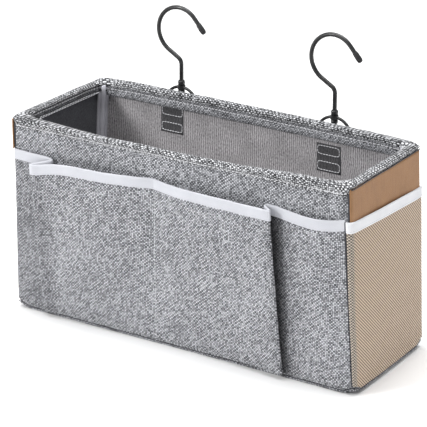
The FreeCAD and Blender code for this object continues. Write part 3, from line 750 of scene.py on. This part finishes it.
# Plans of the front pockets at the mouth, as (x, out from the wall, droop of the mouth), and at the
# foot, as (x, out from the wall), in mm.  The cloth runs flat from the corner, doubles back in a
# knife pleat, comes forward again and bulges to the dividing seam.
LEFT_MOUTH = [
    (-183.6, 1.0, 0), (-178, 2.2, 0), (-162, 3.6, 0), (-147, 3.6, 0), (-137.5, 3.2, 1),
    (-136.5, 4.8, 1.5), (-141, 6.4, 3), (-150, 8.6, 5.6), (-155.5, 9.8, 7.2), (-158, 11.6, 7.6),
    (-155.5, 13.2, 7.6), (-151.5, 12.4, 7.4), (-146, 10.9, 6.8), (-137, 10.8, 4.4), (-122, 11, 2.0),
    (-105, 11.2, 1), (-75, 10.0, 1), (-50, 8.4, 0.2), (-34, 5.0, -0.6), (-26, 1.8, -0.4), (-22, 0.9, 0)]
LEFT_FOOT = [
    (-183.6, 0.9), (-178, 0.9), (-162, 0.9), (-142, 0.9), (-126, 0.9), (-125, 1.8),
    (-129, 2.6), (-138, 2.8), (-147, 3.2), (-150, 4.4), (-148, 5.6), (-143, 5.2),
    (-137, 3.4), (-128, 2.2), (-116, 2.3), (-102, 2.4), (-75, 1.5), (-52, 1.1),
    (-36, 0.9), (-28, 0.9), (-24, 0.9)]
RIGHT_MOUTH = [
    (-22, 0.9, 0), (-18, 1.8, 0), (-9, 4.8, 0), (8, 7.6, 0.5), (35, 9.6, 1), (65, 10.4, 1),
    (88, 11.6, 1), (103, 13.4, 1), (109.2, 13.2, 1), (108.6, 11.4, 0.9), (104.5, 8.2, 0.7),
    (100, 4.8, 0.7), (98.5, 2.6, 0.4), (101, 1.4, 0), (109, 1.2, 0), (124, 3.2, 1.2), (146, 5.6, 2.6),
    (163, 4.4, 2), (174, 2.2, 0.4), (180, 0.9, -1.2)]
RIGHT_FOOT = [
    (-24, 0.9), (-20, 0.9), (-8, 0.9), (10, 1.0), (38, 1.6), (70, 2.8), (98, 5.0),
    (109.5, 6.8), (115.5, 6.4), (114.9, 4.8), (110, 3.4), (105, 2.3), (104, 1.7),
    (108, 1.0), (114, 0.9), (130, 0.9), (150, 0.9), (168, 0.9), (178, 0.9),
    (181.6, 0.9)]
# The end pockets likewise, from y instead of x; the front edge wraps forward round the corner.
SIDE_MOUTH = [
    (-67.6, -3.4, -2.2), (-67.9, -2.2, -2.2), (-67.6, -0.8, -2), (-66.0, 1.2, -2), (-61, 2.2, -1.8),
    (-50, 2.9, -1.4), (-30, 3.5, -0.4), (-8, 3.8, 0.6), (14, 3.7, 1.8), (36, 3.2, 3.2), (52, 2.4, 4.2),
    (61, 1.8, 4.6), (65.6, 1.4, 4.6)]
SIDE_FOOT = [
    (-66.2, -1.4), (-66.6, -0.8), (-66.8, 0.1), (-65.8, 0.9), (-61, 1.1),
    (-50, 1.4), (-30, 1.8), (-8, 2.0), (14, 2.0), (36, 1.7), (52, 1.3),
    (61, 1.1), (65.6, 1.0)]
# How deep in painted shade each station of those plans lies, from the number of the first one.
LEFT_SHADE = (0, [0.26, 0.24, 0.24, 0.25, 0.28, 0.4, 0.8, 0.5, 0.1, 0, 0.14, 0.30, 0.18])
RIGHT_SHADE = (8, [0.2, 0.8, 0.97, 0.97, 0.97, 0.97, 0.75, 0, 0, 0, 0, 0.10])
NO_SHADE = (0, [])
WRAP = {"left": 0.3, "right": 1.0}  # how much of the forward wrap each end has
REACH = {"left": 0.92, "right": 1.0}  # how far forward each end's pocket starts
PUCKER, FLUTTER = 0.55*MM, 0.5*MM  # unevenness of the cloth, and of the mouth's height


def fold_shade(count, shade):
    """The shade along a pocket's grid, from the shade at some of its stations."""
    first, values = shade
    line = np.zeros((count, 1))
    line[first:first + len(values), 0] = values
    return rounded(line)


def pouch_grid(plans, to_wall, low, high, rows, top, seed):
    """A pocket's middle surface, between two distances below its mouth line.

    Where low is None the surface starts at the pocket's foot.
    """
    mouth, foot = [rounded(np.array(plan)*MM) for plan in plans]
    along = run_along(mouth)
    head = top - mouth[:, 2] + FLUTTER*wave(along*3, np.zeros_like(along), seed)
    start = np.full_like(head, POCKET_FOOT) if low is None else head - low
    grid = np.zeros((len(mouth), rows, 3))
    for j, share in enumerate(spread(0, 1, rows)):
        z = start*(1 - share) + (head - high)*share
        rise = np.clip((z - POCKET_FOOT)/(head - POCKET_FOOT), 0, 1)
        across = foot[:, 0] + (mouth[:, 0] - foot[:, 0])*rise**0.8
        out = foot[:, 1] + (mouth[:, 1] - foot[:, 1])*rise**0.7
        out = out + PUCKER*rise*wave(along*2.4, z*1.2, seed + 5)
        grid[:, j] = to_wall(across, out, z)
    return grid


def on_front(x, out, z):
    """Points standing out from the front wall."""
    return np.column_stack([x, FRONT - out, z])


def on_side(sign):
    """The same for the end wall on one side."""
    return lambda y, out, z: np.column_stack([sign*(HALF_X + out), y, z])


def make_pouch(name, plans, to_wall, top, look, slot, tape_look, seed, flip=False,
               shade=NO_SHADE):
    """A pocket sewn to a wall, its white binding and the stitches that hold the binding.
    """
    cloth_thick, tape_thick = 1.0*MM, 2.2*MM
    mouth_line = top - 0.7*MM
    tape_foot = BINDING_DROP - 3.7*MM
    binding = name.replace("pocket", "binding")

    def surface(low, high, rows):
        grid = pouch_grid(plans, to_wall, low, high, rows, mouth_line, seed)
        return settle(grid[::-1] if flip else grid)

    sheet = surface(None, 2.5*MM, 36)
    cloth = cloth_piece(name + "_cloth", sheet, cloth_thick, look, slot, centred=True, replaces=[name],
                        shade=fold_shade(len(plans[0]), shade))
    bound = cloth_piece(binding + "_tape", surface(tape_foot, 0, 8), tape_thick, tape_look, "binding",
                        centred=True, replaces=[binding])
    under = surface(tape_foot - 1.5*MM, tape_foot - 1.7*MM, 2)
    line = under[:, 0] + grid_normals(under)[:, 0]*(tape_thick/2 + 0.05*MM)
    stitches = sew(binding + "_stitches", [line], BINDING_THREAD, 2.4*MM, 0.8*MM, 0.25*MM)
    laid = lay_flat(sheet)


def make_pockets():
    """The two pleated front pockets and the two end pockets."""
    front = (("left", (LEFT_MOUTH, LEFT_FOOT), LEFT_SHADE), ("right", (RIGHT_MOUTH, RIGHT_FOOT), RIGHT_SHADE))
    for number, (side, plans, shade) in enumerate(front):
        make_pouch("front_pocket_" + side, plans, on_front, MOUTH, LINEN, "linen", BINDING,
                   30.5 + number, shade=shade)
    side_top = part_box("side_binding_right")[1].z - 0.5*MM
    for side, sign in SIDES.items():
        plans = [[(y*REACH[side] if y < 0 else y, out*WRAP[side] if out < 0 else out, *droop)
                  for y, out, *droop in plan] for plan in (SIDE_MOUTH, SIDE_FOOT)]
        # the end pockets take the brighter copy of the binding: painted light
        make_pouch("side_pocket_" + side, plans, on_side(sign), side_top, TWILL, "twill",
                   BINDING_PAINTED_LIGHT, 40.5 + sign, flip=sign < 0)


# ---------- stitches and seams

# One stitch: (share of its length, share of its radius).  It dips into the cloth at both ends.
STITCH = ((0.0, 0.15), (0.12, 0.8), (0.35, 1.0), (0.65, 1.0), (0.88, 0.8), (1.0, 0.15))


def rod(line, ahead, helper, radii, sides):
    """A round rod along a line of points: its points and faces.  helper is never along the line."""
    points = []
    for place, along, radius in zip(line, ahead, radii):
        a = np.cross(along, helper)
        a /= np.linalg.norm(a)
        b = np.cross(along, a)
        for angle in spread(0, 2*math.pi, sides + 1)[:-1]:
            points.append(place + (a*math.cos(angle) + b*math.sin(angle))*radius)
    return points, capped(len(line), sides)


def sew(name, lines, material, length, gap, radius, **how):
    """Stitches one after another along each line of points."""
    points, faces = [], []
    shares, sizes = np.array(STITCH).T
    for line in lines:
        run = run_along(line)
        count = max(1, int(run[-1]/(length + gap)))
        pitch = run[-1]/count
        for k in range(count):
            ends = [pitch*k + gap/2, pitch*(k + 1) - gap/2]
            start, end = [np.array([np.interp(e, run, line[:, axis]) for axis in range(3)]) for e in ends]
            reach = np.linalg.norm(end - start)
            if reach < 0.4*length:  # squeezed by a corner of the line
                continue
            along = (end - start)/reach
            helper = (0, 0, 1) if abs(along[2]) < 0.9 else (1, 0, 0)
            middle = start + (end - start)*shares[:, None]
            more, shape = rod(middle, [along]*len(middle), helper, radius*sizes, 6)
            faces += [tuple(i + len(points) for i in face) for face in shape]
            points += more
    return make_piece(name, points, faces, material, "thread", **how)


def seam(name, line, radius):
    """A dark round bead along an open line of points."""
    ahead = np.gradient(line, axis=0)
    ahead /= np.linalg.norm(ahead, axis=1, keepdims=True)
    points, faces = rod(line, ahead, (0.31, 0.22, 0.92), [radius]*len(line), 8)
    make_piece(name, points, faces, SEAM_AND_SHADE, "linen")


def make_seams():
    """Dark seams: up each outer corner, in two lengths, and round the foot; their near-black is partly
    painted shade of the grooves they lie in.
    """
    turn, radius = math.radians(52), CORNER + 0.15*MM
    lengths = {"foot": (4*MM, MOUTH - 1*MM), "head": (MOUTH - 9*MM, TOP - 9*MM)}
    for side, sign in SIDES.items():
        for edge, y, outward in (("front", FRONT, -1), ("back", BACK, 1)):
            for part, (low, high) in lengths.items():
                z = spread(low, high, 60)
                # the end pocket wraps the corner and pulls the front seam's lower length with it
                wrapped = WRAP[side] if (edge, part) == ("front", "foot") else 0
                pull = wrapped*smooth(POCKET_FOOT - 60*MM, MOUTH, z)
                x = sign*(HALF_X - CORNER + radius*math.cos(turn) - 3.3*MM*pull)
                out = radius*math.sin(turn) - CORNER + 1.9*MM*pull
                line = np.column_stack([x, y + outward*out, z])
                seam(f"corner_seam_{edge}_{side}_{part}", settle(line), 0.95*MM)
    loop = box_loop(HALF_X - 0.2*MM, FRONT + 0.1*MM, BACK - 0.1*MM, CORNER)
    line = np.column_stack([loop, np.full(len(loop), 2.4*MM)])
    seam("foot_seam", settle(np.vstack([line, line[:1]])), 0.5*MM)


def make_rim_stitches():
    """Topstitching in the pinched grooves of the rim, outside and in, and down the centre seam."""
    outer, _, end = rim_lines()
    outside, inside = rim_line(-0.62, -9.9, "out"), rim_line(7.45, -8.75, "in")
    lines = [outside[outer[:, 1] < FRONT + 1*MM], outside[outer[:, 1] > BACK - 1*MM],
             np.vstack([inside, inside[:1]])]
    sew("rim_topstitch", lines, THREAD, 3.6*MM, 0.5*MM, 0.5*MM, replaces=["rim_stitching"])
    lower = rim_line(8.7, -15.2, "in")[(end > 0.99) & (outer[:, 0] < 0)]
    sew("end_hem_topstitch", [lower], SEAM_THREAD, 3.6*MM, 0.5*MM, 0.36*MM)
    z = spread(POCKET_FOOT + 2*MM, MOUTH - BINDING_DROP, 50)
    x = SEAM_X - 2*MM*(1 - (z - POCKET_FOOT)/(MOUTH - POCKET_FOOT))
    centre = settle(np.column_stack([x, np.full_like(z, FRONT - 1.7*MM), z]))
    sew("pocket_seam_stitches", [centre], SEAM_THREAD, 2.8*MM, 0.8*MM, 0.4*MM,
        replaces=["pocket_stitching"])


# ---------- straps

# The stitched frames inside the back wall: where they are along it, and the feet of the upper and
# the lower one.
FRAME_X = {"left": -91.5*MM, "right": 90*MM}
FRAME_Z = {"left": (176*MM, 160.5*MM), "right": (170*MM, 155*MM)}


def frame_line(centre_x, foot, wide, tall, y):
    """A stitched rectangle with rounded corners, standing in the plane y."""
    loop, corner = [], 1.2*MM
    for sx, sz, start in ((1, 1, 0), (-1, 1, 90), (-1, -1, 180), (1, -1, 270)):
        cx, cz = centre_x + sx*(wide/2 - corner), foot + tall/2 + sz*(tall/2 - corner)
        for angle in np.radians(spread(start, start + 90, 4)):
            loop.append((cx + corner*math.cos(angle), y, cz + corner*math.sin(angle)))
    return np.array(loop + loop[:1])


def strap_line(foot, eye_y, eye_z):
    """The webbing from the side, as (y, z): up the wall, round the ring's bar and down again."""
    reach = 2.45*MM
    up = [(BACK + 0.75*MM, foot), (BACK + 0.75*MM, eye_z - 14*MM), (BACK + 0.9*MM, eye_z - 9*MM)]
    loop = [(eye_y + reach*math.cos(a), eye_z + reach*math.sin(a)) for a in np.radians(spread(200, -20, 12))]
    down = [(BACK + 5.6*MM, eye_z - 6*MM), (BACK + 2.5*MM, eye_z - 12*MM),
            (BACK + 2.25*MM, eye_z - 16*MM), (BACK + 2.25*MM, foot)]
    return rounded(up + loop + down, 2)


def make_straps():
    """Webbing folded round each ring's bar and sewn through the back wall."""
    facing_half, inner_face = 13.5*MM, BACK - WALL
    for side in SIDES:
        low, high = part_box("strap_" + side)
        ring_low, ring_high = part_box("ring_" + side)
        line = strap_line(low.z, (ring_low.y + ring_high.y)/2, ring_low.z + 1.5*MM)
        middle, half = (low.x + high.x)/2, (high.x - low.x)/2 - 0.3*MM
        grid = np.zeros((len(line), 9, 3))
        grid[..., 0] = spread(middle - half, middle + half, 9)
        grid[..., 1:] = line[:, None]
        cloth_piece(f"strap_{side}_webbing", grid, 1.35*MM, WEBBING, "webbing", centred=True,
                    replaces=["strap_" + side])
        centre, feet = FRAME_X[side], FRAME_Z[side]
        frames = [settle(frame_line(centre, z, 24*MM, 8*MM, inner_face - 0.35*MM)) for z in feet]
        frames += [frame_line(middle, low.z + up, 22*MM, 7*MM, BACK + 3.1*MM) for up in (2*MM, 11*MM)]
        sew(f"strap_{side}_stitches", frames, THREAD, 2.7*MM, 0.25*MM, 0.46*MM,
            replaces=["strap_stitching_" + side])
        # the strap's own end, sewn on inside under the stitched frames; its dark colour is painted shade of
        # the dimples the frames pull into the wall
        face_y = inner_face - 0.05*MM
        plan = spread((centre - facing_half, face_y), (centre + facing_half, face_y), 10)
        facing = settle(upright(plan, feet[1] - 2*MM, feet[0] + 10*MM, 10))
        cloth_piece(f"strap_{side}_facing", facing, 0.3*MM, FACING_AND_SHADE, "lining", centred=True)


# ---------- bands, insert, hardware

# How each band sits: how far it stands off its wall, how far it is tucked in behind the pocket's
# mouth, and how far its lower front corner is lifted out of the binding's way.
BAND_FIT = {"left": (2.9*MM, 6*MM, 5.5*MM), "right": (1.5*MM, 14*MM, 0)}


def make_bands():
    """A leatherette band on each end, tucked under the rim's lip and behind the pocket's binding."""
    outer, _, end = rim_lines()
    behind_corner = np.arange(len(end)) > 5
    for side, sign in SIDES.items():
        standing_off, tucked, lift = BAND_FIT[side]
        foot = MOUTH - tucked
        plan = mirrored(end_plan(standing_off, math.radians(42)), sign)
        grid = upright(plan, foot, BAND_TOP - 3.4*MM, 16)
        y, z = grid[..., 1], grid[..., 2]
        z -= 1.6*MM*smooth(FRONT, BACK, y)*smooth(BAND_TOP - 20*MM, BAND_TOP, z)
        z += lift*(1 - smooth(FRONT, FRONT + 30*MM, y))*(1 - smooth(foot, foot + 25*MM, z))
        cloth_piece(f"leather_band_{side}_skin", settle(grid), 1.4*MM, LEATHER, "leatherette",
                    replaces=["leather_band_" + side])
        # a near-black bead between the lip and the band: painted shadow under the lip
        under_lip = rim_line(-(standing_off/MM + 0.1)/PROUD, -11.0, "out")
        seam(f"lip_shadow_bead_{side}", under_lip[(end > 0.9) & (sign*outer[:, 0] > 0) & behind_corner], 0.5*MM)


def make_insert():
    """The loose base board, wrapped in lining cloth, with soft rounded edges."""
    low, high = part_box("base_insert")
    edge, corner = (high.z - low.z)/2, 5*MM
    upper = []
    for angle in np.radians(spread(90, 0, 5)):
        inset = edge*(1 - math.cos(angle))
        loop = box_loop(high.x - inset, low.y + inset, high.y - inset, corner - inset/2)
        upper.append(np.column_stack([loop, np.full(len(loop), edge*math.sin(angle))]))
    lower = [loop*(1, 1, -1) for loop in upper[-2::-1]]
    rings = np.array(upper + lower) + (0, 0, low.z + edge)
    points = rings.reshape(-1, 3)
    make_piece("base_insert_board", points, capped(*rings.shape[:2]), LINING_INSERT, "lining",
               body="base_insert", cloth=points*(1, 1, 0), replaces=["base_insert"])


def dress_hardware():
    """The rings and hooks keep their CAD shape and get lacquer."""
    looks = {"ring_": WIRE, "hook_wire_": WIRE, "hook_rivet_": WIRE, "hook_collar_": WIRE, "hook_cap_": CAP}
    for side in SIDES:
        for node, look in looks.items():
            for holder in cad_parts[node + side].material_slots:
                holder.material = look


# ---------- studio

def make_camera():
    """A long lens from the front right, a little above."""
    azimuth, elevation, distance = math.radians(32.77), math.radians(20.95), 2.058
    target = Vector((-2.2*MM, 0, 114.7*MM))
    away = Vector((math.sin(azimuth)*math.cos(elevation), -math.cos(azimuth)*math.cos(elevation),
                   math.sin(elevation)))
    data = bpy.data.cameras.new("camera")
    data.sensor_width = 36
    data.lens = 183.3
    data.clip_end = 50
    camera = add_object("camera", data)
    camera.location = target + away*distance
    camera.rotation_euler = (-away).to_track_quat("-Z", "Y").to_euler()
    bpy.context.scene.camera = camera


def make_light(name, place, target, power, size):
    """A square white lamp of so many watts and metres."""
    data = bpy.data.lights.new(name, "AREA")
    data.energy = power
    data.size = size
    light = add_object(name, data)
    light.location = place
    light.rotation_euler = (Vector(target) - Vector(place)).to_track_quat("-Z", "Y").to_euler()


def make_floor():
    """A sheet of nearly white paper, a hair under the box."""
    s = Shader("floor_paper", 0.9, Specular_IOR_Level=0.1)
    tone = s.noise(s.solid(), 0.01)
    s.colour(s.ramp(tone, (0.3, (0.93, 0.93, 0.93)), (0.7, (0.95, 0.95, 0.95))))
    reach = 6.0
    mesh = bpy.data.meshes.new("floor")
    mesh.from_pydata([(x*reach, y*reach, 0) for x, y in ((-1, -1), (1, -1), (1, 1), (-1, 1))], [],
                     [(0, 1, 2, 3)])
    mesh.materials.append(s.material)
    floor = add_object("floor", mesh)
    floor.location.z = -0.3*MM


def make_studio():
    """White surroundings and three soft lamps."""
    make_floor()
    world = bpy.data.worlds.new("studio")
    world.use_nodes = True
    background = world.node_tree.nodes["Background"]
    background.inputs["Color"].default_value = (1, 1, 1, 1)
    background.inputs["Strength"].default_value = 0.36
    bpy.context.scene.world = world
    make_light("key", (-1.5, -2.3, 1.5), (0, 0, 0.1), 52, 0.6)
    make_light("fill", (2.4, 0.9, 0.4), (0, 0, 0.1), 13.5, 0.7)
    make_light("overhead", (-0.2, 0.2, 2.6), (0, 0, 0), 92, 2.2)
    bpy.context.scene.view_settings.view_transform = "Standard"


make_camera()
make_studio()
make_outer_walls()
make_bottom()
make_boards()
make_lining()
make_corner_rolls()
make_rim()
make_pockets()
make_seams()
make_rim_stitches()
make_straps()
make_bands()
make_insert()
dress_hardware()
